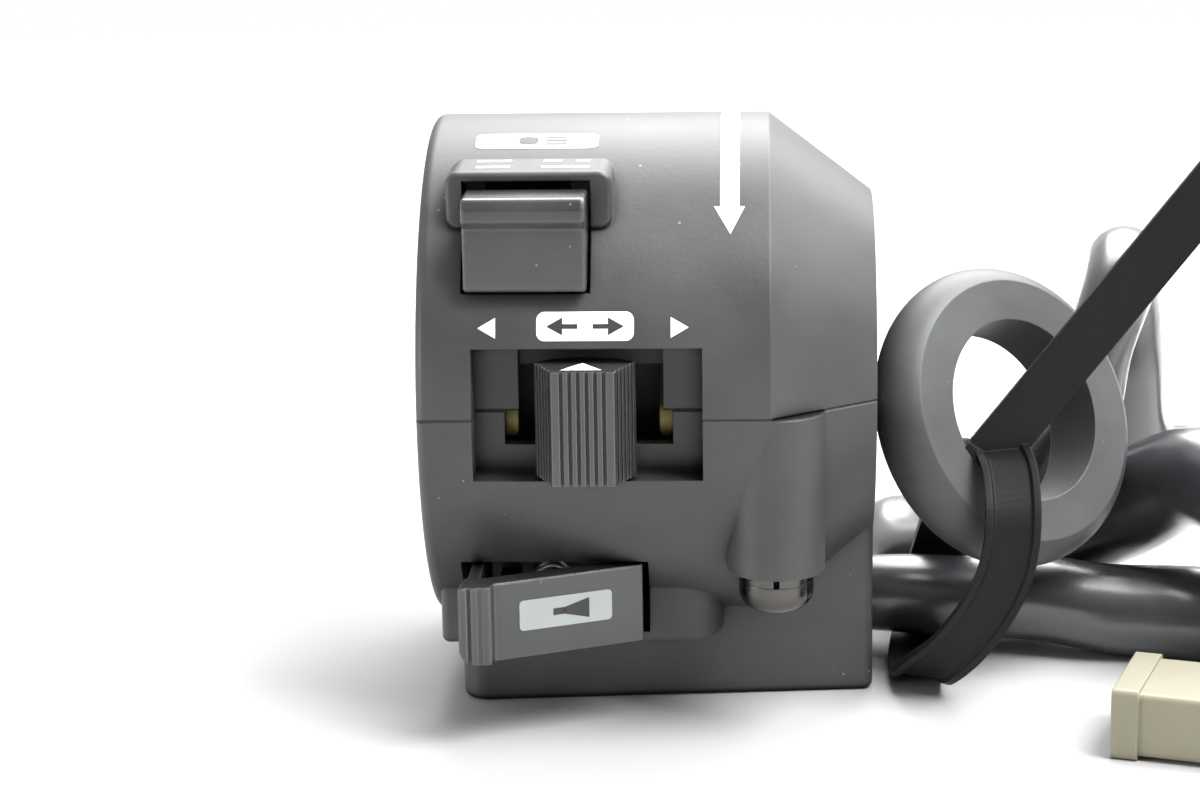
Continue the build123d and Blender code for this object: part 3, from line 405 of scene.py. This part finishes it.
def crumple(piece, start, depth, fold, calm, lowest):
    """Mesh of a tube with soft folds, none near its start, flat where it lies, and the tube's middle line."""
    name = piece.name
    mesh = read_mesh(piece)
    piece.data.bevel_depth = 0
    path = [tuple(vertex.co) for vertex in read_mesh(piece).vertices]
    bpy.data.objects.remove(piece)
    moves = []
    for vertex in mesh.vertices:
        wave = noise.noise(fold_slant @ (vertex.co / fold))
        moves.append(vertex.normal * wave * depth * min(1.0, (vertex.co - start).length / calm))
    for vertex, move in zip(mesh.vertices, moves):
        vertex.co += move
        vertex.co.z = max(vertex.co.z, lowest)
    mesh.shade_smooth()
    print(name, "vertices", len(mesh.vertices), "longest move", round(max(move.length for move in moves), 5))
    return put(name, mesh), path


# %% [markdown]
# ## Sleeve and wires in place
# The points are millimetres on the real harness, from the case to the connector.

# %% Sleeve and wires
sleeve_route = [
    (26, 4, -30.8), (42, 4, -30.8), (60, 1.5, -32.3), (84, 0, -32.4), (112, -6, -32.4), (144, -4, -32.4),
    (169, 15, -32.4), (173, 45, -32.4), (154, 70, -32.4), (122, 79, -32.4), (94, 75, -32.4), (74, 65, -32.4),
    (63, 53, -24.0), (62, 50, 3.5), (59, 25.5, 4.0), (51.5, 27.5, -21.0), (46, 39.5, -32.4), (30, 36, -32.4),
    (31, 17.5, -32.4), (53.5, 16, -28.0), (66.5, 3, -12.5), (79, -11.5, -24.0), (91, -18.5, -31.3),
    (104, -26, -32.4),
]
sleeve_shares = {0: 0.86, 1: 0.93, 2: 1.04, 13: 0.9, 14: 0.85, 15: 0.9, 19: 1.1, 20: 1.25, 21: 1.15, 22: 1.05,
                 23: 0.95}
sleeve_radius, wire_radius = 5.4 * mm, 0.9 * mm
wire_routes = {
    "wire_brown": [(102.8, -28.08, -32.4), (109.7, -32.1, -33.0), (114.5, -39, -36.9), (106.5, -46, -36.9),
                   (93, -41.5, -36.5), (79.456, -32.35, -33.8), (71.256, -29.65, -33.8)],
    "wire_yellow": [(104, -26, -32.4), (111.5, -30.3, -33.0), (119, -39, -36.9), (110, -51, -36.9),
                    (94, -47, -36.5), (78.7, -36.35, -33.8), (70, -33.5, -33.8)],
    "wire_green": [(105.2, -23.92, -32.4), (113.5, -28.7, -33.0), (123.5, -40, -36.9), (112.5, -56, -36.9),
                   (94.5, -52.5, -36.5), (77.944, -40.35, -33.8), (68.744, -37.35, -33.8)],
}

round_sleeve = tube("sleeve", sleeve_route, sleeve_radius, sleeve_shares, finishes["soft_sleeve"])
sleeve, sleeve_path = crumple(round_sleeve, Vector(sleeve_route[0]) * mm, depth=1.7 * mm, fold=16 * mm,
                              calm=25 * mm, lowest=-37.8 * mm)
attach(sleeve, "housing")
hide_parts("harness_sleeve")
for name, route in wire_routes.items():
    wire = tube("free_" + name, route, wire_radius, {}, finishes[name])
    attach(wire, "housing")
    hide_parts(name)
print("sleeve points", len(sleeve_route), "wires", sorted(wire_routes))

# %% [markdown]
# ## Legends
# The signs of a real switch are printed or hot-stamped on the finished case, a few hundredths of a
# millimetre thick. A picture on the surface would be the usual way, but a thin sheet that follows the
# surface stays sharp from any distance. Each surface below turns two flat numbers into a point just above
# the part.

# %% Surfaces for legends
barrel_radius = 30.0
hood_top = 26.95
knob_top = 6.3
lever_end = Vector((-1, -24, 0))
lever_run = Vector((-16.45, -7.5, 0)).normalized()
lever_out = Vector((-lever_run.y, lever_run.x, 0))


def on_barrel_turn(x, turn_degrees, lift):
    """Point on the barrel, turned up from its front by an angle."""
    rise = math.radians(turn_degrees)
    reach = barrel_radius + lift
    return Vector((x, -reach * math.cos(rise), reach * math.sin(rise))) * mm


def on_barrel(x, z, lift):
    """Point on the barrel's front, at a height z."""
    return on_barrel_turn(x, math.degrees(math.asin(z / barrel_radius)), lift)


def on_hood(x, y, lift):
    """Point on the flat top of the hood."""
    return Vector((x, y, hood_top + lift)) * mm


def on_knob(x, y, lift):
    """Point on the flat top of the turn knob."""
    return Vector((x, y, knob_top + lift)) * mm


def on_lever(along, z, lift):
    """Point on the horn lever's oblique face, a distance along it from its right end."""
    return (lever_end + lever_run * along + lever_out * lift + Vector((0, 0, z))) * mm


print("lever face runs along", [round(value, 3) for value in lever_run])

# %% [markdown]
# ## Filling an outline
# A sign's outline is filled with smaller copies of itself, ring inside ring, and a point in the middle. So
# the sheet has enough points inside to bend with the barrel, which one flat face would cut through.

# %% Signs
ring_shares = (1.0, 0.66, 0.33)
paint_lift, ink_lift = 0.04, 0.07
corner_steps = 8


def sign(name, outlines, surface, lift, paint, body):
    """Thin painted sign: each outline is filled on its surface."""
    verts, faces = [], []
    for outline in outlines:
        count = len(outline)
        middle = (sum(a for a, b in outline) / count, sum(b for a, b in outline) / count)
        base = len(verts)
        for share in ring_shares:
            for a, b in outline:
                verts.append(surface(middle[0] + (a - middle[0]) * share, middle[1] + (b - middle[1]) * share,
                                     lift))
        verts.append(surface(*middle, lift))
        for step in range(len(ring_shares) - 1):
            outer, inner = base + step * count, base + (step + 1) * count
            for index in range(count):
                after = (index + 1) % count
                faces.append((outer + index, outer + after, inner + after, inner + index))
        last, heart = base + (len(ring_shares) - 1) * count, base + len(ring_shares) * count
        for index in range(count):
            faces.append((last + index, last + (index + 1) % count, heart))
    mesh = bpy.data.meshes.new(name)
    mesh.from_pydata(verts, [], faces)
    made = put(name, mesh)
    dress(made, finishes[paint])
    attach(made, body)
    return made


def pill(left, right, low, high, corner):
    """Outline of a rectangle with round corners."""
    points = []
    corners = ((right - corner, high - corner, 0), (left + corner, high - corner, 90),
               (left + corner, low + corner, 180), (right - corner, low + corner, 270))
    for x, y, start in corners:
        for step in range(corner_steps + 1):
            angle = math.radians(start + 90 * step / corner_steps)
            points.append((x + corner * math.cos(angle), y + corner * math.sin(angle)))
    return points


def bar(left, right, low, high, steps=10):
    """Outline of a rectangle, its sides cut into short runs so that it can follow a curve."""
    side = [low + (high - low) * step / steps for step in range(steps + 1)]
    return [(right, value) for value in side] + [(left, value) for value in reversed(side)]


print("rings in a sign", len(ring_shares), "paint", paint_lift, "ink", ink_lift)

# %% [markdown]
# ## The signs
# The signs are plain plates and simple pictures, so the part suits any maker. On the barrel, a height is in
# millimetres above the bar's axis, or an angle from the front for the signs near the top.

# %% Legends
sign("turn_plate", [pill(-12.3, -1.4, 8.9, 12.0, 0.9)], on_barrel, paint_lift, "legend_paint", "housing")
sign("lights_plate", [pill(-20.2, -5.95, 68.0, 75.0, 1.4)], on_barrel_turn, paint_lift, "legend_paint",
     "housing")
sign("left_mark", [[(-18.9, 10.3), (-16.9, 9.2), (-16.9, 11.4)]], on_barrel, paint_lift, "legend_paint",
     "housing")
sign("right_mark", [[(4.7, 10.3), (2.7, 11.4), (2.7, 9.2)]], on_barrel, paint_lift, "legend_paint", "housing")
shaft_start, shaft_run, shaft_parts = 48.3, 4, 11
arrow_shaft = [bar(8.2, 10.4, shaft_start + shaft_run * part, shaft_start + shaft_run * (part + 1), 4)
               for part in range(shaft_parts)]
arrow_head = [(7.5, 48.4), (8.4, 44.8), (9.35, 41.2), (10.2, 44.8), (11.0, 48.4), (9.3, 48.4)]
sign("bar_arrow", arrow_shaft + [arrow_head], on_barrel_turn, paint_lift, "legend_paint", "housing")
sign("horn_plate_sign", [pill(3.8, 15.1, -24.5, -20.9, 0.5)], on_lever, paint_lift, "plate_paint",
     "horn_lever_body")
sign("knob_mark", [[(-7.2, -28.4), (-9.5, -31.9), (-4.9, -31.9)]], on_knob, paint_lift, "legend_paint",
     "turn_slide")
hood_bars = [bar(-19.6, -15.7, -15.4, -14.2), bar(-19.4, -15.6, -19.6, -18.4), bar(-12.0, -9.9, -15.4, -14.2),
             bar(-8.3, -6.7, -15.4, -14.2), bar(-12.0, -6.6, -19.6, -18.4)]
sign("hood_marks", hood_bars, on_hood, paint_lift, "legend_paint", "housing")
turn_arrows = [[(-11.2, 10.45), (-9.4, 9.5), (-9.4, 11.4)], bar(-9.4, -7.7, 10.2, 10.7),
               [(-2.5, 10.45), (-4.3, 11.4), (-4.3, 9.5)], bar(-6.0, -4.3, 10.2, 10.7)]
sign("turn_picture", turn_arrows, on_barrel, ink_lift, "sign_ink", "housing")
lamp_rays = [bar(-12.0, -9.6, low, high) for low, high in ((72.7, 73.5), (71.1, 71.9), (69.5, 70.3))]
lamp_body = pill(-15.2, -12.9, 69.6, 73.4, 1.0)
sign("lights_picture", [lamp_body] + lamp_rays, on_barrel_turn, ink_lift, "sign_ink", "housing")
horn_bell = [(6.6, -23.9), (6.6, -21.5), (9.6, -22.3), (9.6, -23.1)]
sign("horn_picture", [horn_bell, bar(9.6, 11.0, -23.1, -22.3)], on_lever, ink_lift, "sign_ink",
     "horn_lever_body")
print("arrow shaft parts", len(arrow_shaft), "hood bars", len(hood_bars))

# %% [markdown]
# ## The strap's band
# The band hangs loosely: it comes up through the ring's bore, curls over the rim, falls in front of the
# sleeve and turns back under it. A flat curve with a bevel would twist as it likes. So each station below
# is a point on the band's middle line with the direction of its width there, and a smooth line joins them.
# The section has a raised edge on either side, as moulded straps have.

# %% Stations and section of the band
band_stations = [
    ((41.8, -14.6, -10.4), (0.99, -0.08, 0.10)), ((41.9, -17.6, -14.0), (1.0, 0.0, 0.0)),
    ((41.6, -18.9, -18.0), (0.99, 0.0, -0.10)), ((40.6, -19.2, -22.0), (0.97, 0.0, -0.20)),
    ((38.6, -18.6, -26.3), (0.95, 0.0, -0.30)), ((35.7, -17.0, -30.8), (0.93, 0.0, -0.36)),
    ((33.0, -14.5, -34.0), (0.91, 0.0, -0.40)), ((31.6, -10.5, -36.1), (0.99, 0.0, -0.12)),
    ((31.4, -4.5, -36.9), (1.0, 0.0, 0.0)), ((31.8, 1.5, -36.95), (1.0, 0.0, 0.0)),
    ((32.6, 7.3, -36.0), (1.0, 0.0, 0.0)), ((33.8, 10.6, -32.0), (1.0, 0.0, 0.0)),
    ((35.0, 10.9, -27.0), (1.0, 0.0, 0.0)), ((36.3, 8.3, -21.5), (1.0, 0.0, 0.0)),
    ((37.6, 4.0, -16.5), (1.0, 0.05, 0.0)), ((38.6, -0.5, -12.4), (1.0, 0.05, 0.05)),
    ((39.5, -4.5, -9.4), (1.0, 0.0, 0.08)), ((40.4, -9.0, -8.6), (1.0, 0.0, 0.10)),
    ((41.2, -12.2, -9.0), (1.0, -0.05, 0.10)),
]
band_half, band_thick, band_edge = 3.2, 0.9, 0.45
edge_width, edge_foot = 0.8, 1.1
band_low, band_high, rim_high = -band_thick / 2, band_thick / 2, band_thick / 2 + band_edge
band_section = [(-band_half, band_low), (band_half, band_low), (band_half, rim_high),
                (band_half - edge_width, rim_high), (band_half - edge_foot, band_high),
                (edge_foot - band_half, band_high), (edge_width - band_half, rim_high),
                (-band_half, rim_high)]
band_steps = 6
print("stations", len(band_stations), "points in the section", len(band_section))

# %% [markdown]
# ## Sweeping the section
# The section is set at right angles to the middle line at each step, with its raised edges away from the
# middle of the loop, and faces join each section to the next.


# %% Sweep
def smooth(values, place):
    """Point of a closed smooth line through the values, at a step between two of them."""
    count = len(values)
    index, step = divmod(place, band_steps)
    t = step / band_steps
    p0, p1, p2, p3 = (Vector(values[(index + shift) % count]) for shift in (-1, 0, 1, 2))
    return 0.5 * (2 * p1 + (p2 - p0) * t + (2 * p0 - 5 * p1 + 4 * p2 - p3) * t ** 2
                  + (3 * p1 - p0 - 3 * p2 + p3) * t ** 3)


def swept_band(name, stations, section):
    """Closed band with the given section along the stations."""
    total = len(stations) * band_steps
    middles = [smooth([row[0] for row in stations], place) for place in range(total)]
    widths = [smooth([row[1] for row in stations], place).normalized() for place in range(total)]
    heart = sum(middles, Vector()) / total
    size = len(section)
    verts, faces = [], []
    for place in range(total):
        run = (middles[(place + 1) % total] - middles[place - 1]).normalized()
        out = run.cross(widths[place]).normalized()
        if out.dot(middles[place] - heart) < 0:
            out = -out
        verts.extend((middles[place] + widths[place] * a + out * b) * mm for a, b in section)
    for place in range(total):
        here, there = place * size, (place + 1) % total * size
        for index in range(size):
            after = (index + 1) % size
            faces.append((here + index, here + after, there + after, there + index))
    mesh = bpy.data.meshes.new(name)
    mesh.from_pydata(verts, [], faces)
    return mesh


def slab(root, end, out, half_width, half_thick):
    """Corners and faces of a flat bar from root to end, facing along out."""
    along = (end - root).normalized()
    out = (out - along * out.dot(along)).normalized()
    side = along.cross(out)
    verts = [point + side * a * half_width + out * b * half_thick for point in (root, end)
             for a, b in ((-1, -1), (1, -1), (1, 1), (-1, 1))]
    faces = [(0, 1, 2, 3), (7, 6, 5, 4), (0, 4, 5, 1), (1, 5, 6, 2), (2, 6, 7, 3), (3, 7, 4, 0)]
    return verts, faces


band_mesh = swept_band("strap_band", band_stations, band_section)
print("band vertices", len(band_mesh.vertices))

# %% [markdown]
# ## Tail and head of the strap
# The tail is a long flat bar that stands up behind the head, and the head is a short thick one round its
# foot. Both join the band's mesh, because on the real strap they are moulded in one. Normals are worked out
# again at the end, so that all three pieces face outwards.

# %% Strap
tail_root, tail_end = Vector((39.110, -10.841, -9.808)), Vector((67.5, -12.0, 26.8))
tail_run = (tail_end - tail_root).normalized()
tail_half_width, tail_half_thick, tail_foot = 3.0, 0.475, 1.5
head_half_width, head_half_thick, head_foot, head_top = 3.1, 1.1, 2.6, 0.8
towards_camera = Vector((0, -1, 0))

grown = bmesh.new()
grown.from_mesh(band_mesh)
for start, end, half_width, half_thick in (
        (tail_root - tail_run * tail_foot, tail_end, tail_half_width, tail_half_thick),
        (tail_root - tail_run * head_foot, tail_root + tail_run * head_top, head_half_width,
         head_half_thick)):
    verts, faces = slab(start, end, towards_camera, half_width, half_thick)
    corners = [grown.verts.new(point * mm) for point in verts]
    for face in faces:
        grown.faces.new([corners[index] for index in face])
bmesh.ops.recalc_face_normals(grown, faces=grown.faces)
grown.to_mesh(band_mesh)
grown.free()
band = put("strap_band", band_mesh)
dress(band, finishes["strap_plastic"])
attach(band, "housing")
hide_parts("harness_strap")
print("strap vertices", len(band_mesh.vertices))

# %% [markdown]
# ## Rungs of the strap
# A ladder strap is moulded flat with a row of small rungs that its head locks on. They all have one shape,
# so one small block is set out along a line with Geometry Nodes and turned to lie on the tail's back face.
# The tree ends in Realize Instances and Set Material, so that the row is real mesh with its own finish.

# %% Node group for a row of blocks
rung_inputs = {"Count": "Int", "Start": "Vector", "Step": "Vector", "Size": "Vector", "Turn": "Vector",
               "Spread": "Float", "Seed": "Int", "Material": "Material"}


def rung_group():
    """Node group that sets out equal blocks along a line."""
    group = bpy.data.node_groups.new("strap_rungs", "GeometryNodeTree")
    face = group.interface
    face.new_socket("Geometry", in_out="OUTPUT", socket_type="NodeSocketGeometry")
    sockets = {}
    for label, kind in rung_inputs.items():
        sockets[label] = face.new_socket(label, in_out="INPUT", socket_type="NodeSocket" + kind).identifier
    entry = group.nodes.new("NodeGroupInput")
    leave = group.nodes.new("NodeGroupOutput")
    line = group.nodes.new("GeometryNodeMeshLine")
    line.mode = "OFFSET"
    block = group.nodes.new("GeometryNodeMeshCube")
    place = group.nodes.new("GeometryNodeInstanceOnPoints")
    chance = group.nodes.new("FunctionNodeRandomValue")
    chance.data_type = "FLOAT"
    lowest = group.nodes.new("ShaderNodeMath")
    lowest.operation = "SUBTRACT"
    lowest.inputs[0].default_value = 1.0
    real = group.nodes.new("GeometryNodeRealizeInstances")
    paint = group.nodes.new("GeometryNodeSetMaterial")
    link = group.links.new
    link(entry.outputs["Count"], line.inputs["Count"])
    link(entry.outputs["Start"], line.inputs["Start Location"])
    link(entry.outputs["Step"], line.inputs["Offset"])
    link(entry.outputs["Size"], block.inputs["Size"])
    link(entry.outputs["Turn"], place.inputs["Rotation"])
    link(entry.outputs["Spread"], lowest.inputs[1])
    link(lowest.outputs["Value"], chance.inputs[2])
    chance.inputs[3].default_value = 1.0
    link(entry.outputs["Seed"], chance.inputs["Seed"])
    link(chance.outputs[1], place.inputs["Scale"])
    link(line.outputs["Mesh"], place.inputs["Points"])
    link(block.outputs["Mesh"], place.inputs["Instance"])
    link(place.outputs["Instances"], real.inputs["Geometry"])
    link(real.outputs["Geometry"], paint.inputs["Geometry"])
    link(entry.outputs["Material"], paint.inputs["Material"])
    link(paint.outputs["Geometry"], leave.inputs["Geometry"])
    return group, sockets


print("node group for rungs ready")

# %% [markdown]
# ## The row in place
# A modifier holds the node group and its sizes. Its result is read off as a plain mesh, and the modifier
# goes away again. The rungs differ by up to three percent in size, as moulded ones do, always in the same
# way.

# %% Rungs
rung_size = Vector((0.9, 3.4, 0.3)) * mm
rung_count, rung_spread, rung_seed = 17, 0.03, 7
rung_lift = 0.47
first_gap, last_gap = 9, 4


def rungs(name, start, end, face, count, size, body, slot_name):
    """Row of rungs from start to end, on a side that faces along face, made real and given a body."""
    group, sockets = rung_group()
    along = (end - start).normalized()
    out = (face - along * face.dot(along)).normalized()
    turned = Matrix((along, out.cross(along), out)).transposed().to_euler()
    values = {"Count": count, "Start": list(start), "Step": list((end - start) / (count - 1)),
              "Size": list(size), "Turn": list(turned), "Spread": rung_spread, "Seed": rung_seed,
              "Material": finishes[slot_name]}
    carrier = put(name + "_row", bpy.data.meshes.new(name + "_row"))
    modifier = carrier.modifiers.new("rungs", "NODES")
    modifier.node_group = group
    for label, value in values.items():
        modifier[sockets[label]] = value
    mesh = read_mesh(carrier)
    carrier.modifiers.remove(modifier)
    bpy.data.objects.remove(carrier)
    row = put(name, mesh)
    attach(row, body)
    print(name, "rungs", count, "vertices", len(mesh.vertices))
    return row


tail_back = (-towards_camera + tail_run * towards_camera.dot(tail_run)).normalized()
first_rung = (tail_root + tail_run * first_gap + tail_back * rung_lift) * mm
last_rung = (tail_end - tail_run * last_gap + tail_back * rung_lift) * mm
rungs("strap_rungs", first_rung, last_rung, tail_back, rung_count, rung_size, "housing", "strap_plastic")

# %% [markdown]
# ## Stage
# The photo was taken on a white table. The floor is pale and takes the faint shadow under the case. To the
# camera alone it turns white further off, so that it joins the background. That is done in the floor's own
# shader, because more light would wash out the part as well.

# %% Floor
floor_height, floor_half = -0.0379, 3
floor_to_camera, floor_to_part = (0.335, 0.335, 0.335), (0.5, 0.5, 0.5)
white_from, white_to = 0.25, 0.7
floor_mesh = bpy.data.meshes.new("floor")
floor_mesh.from_pydata([(x * floor_half, y * floor_half, floor_height)
                        for x, y in ((-1, -1), (1, -1), (1, 1), (-1, 1))], [], [(0, 1, 2, 3)])
floor = put("floor", floor_mesh)
floor_paint = bpy.data.materials.new("floor_paint")
floor_paint.use_nodes = True
tree = floor_paint.node_tree
shader = tree.nodes["Principled BSDF"]
shader.inputs["Roughness"].default_value = 0.7
to_camera = node(tree, "ShaderNodeLightPath").outputs["Is Camera Ray"]
feed(tree, shader.inputs["Base Color"], blended(tree, to_camera, floor_to_part, floor_to_camera))
distance = node(tree, "ShaderNodeVectorMath", operation="LENGTH")
feed(tree, distance.inputs[0], node(tree, "ShaderNodeNewGeometry").outputs["Position"])
far = ranged(tree, distance.outputs["Value"], white_from, white_to)
glow = node(tree, "ShaderNodeEmission", Color=(1, 1, 1, 1), Strength=1.0)
mixed = node(tree, "ShaderNodeMixShader")
feed(tree, mixed.inputs["Fac"], maths(tree, "MULTIPLY", to_camera, far))
feed(tree, mixed.inputs[1], shader.outputs["BSDF"])
feed(tree, mixed.inputs[2], glow.outputs["Emission"])
feed(tree, tree.nodes["Material Output"].inputs["Surface"], mixed.outputs["Shader"])
dress(floor, floor_paint)
print("floor at", floor_height)

# %% [markdown]
# ## Light
# The background is bright, a soft light hangs above on the right, and the room behind the camera is darker.
# A shiny black part mostly shows its surroundings, so the world is bright behind and above and dark in
# front. A plain grey world would light all sides alike and make the plastic look like paper. To the camera
# it is white.

# %% World and lamps
bright_way = (0, 0.6, 0.8)
darkest_way, brightest = -0.8, 1.15
world = bpy.data.worlds.new("world")
world.use_nodes = True
bpy.context.scene.world = world
tree = world.node_tree
facing = node(tree, "ShaderNodeVectorMath", operation="DOT_PRODUCT")
feed(tree, facing.inputs[0], node(tree, "ShaderNodeTexCoord").outputs["Generated"])
feed(tree, facing.inputs[1], bright_way)
room = ranged(tree, facing.outputs["Value"], darkest_way, 1.0, to_high=brightest)
to_camera = node(tree, "ShaderNodeLightPath").outputs["Is Camera Ray"]
sky = tree.nodes["Background"]
feed(tree, sky.inputs["Color"], (1, 1, 1, 1))
feed(tree, sky.inputs["Strength"], ranged(tree, to_camera, 0.0, 1.0, to_low=room))


def lamp(name, place, size, power):
    """Soft square light aimed at the origin."""
    data = bpy.data.lights.new(name, "AREA")
    data.size = size
    data.energy = power
    made = put(name, data)
    made.location = place
    made.rotation_euler = (-Vector(place)).to_track_quat("-Z", "Y").to_euler()
    return made


lamp("top_light", (0.50, -0.2, 0.8), 0.6, 29.0)
lamp("back_light", (0.2, 0.6, 0.75), 0.9, 26.0)
lamp("front_light", (-0.85, -0.36, 0.06), 0.4, 6.0)
print("lamps", [light.name for light in bpy.data.lights])
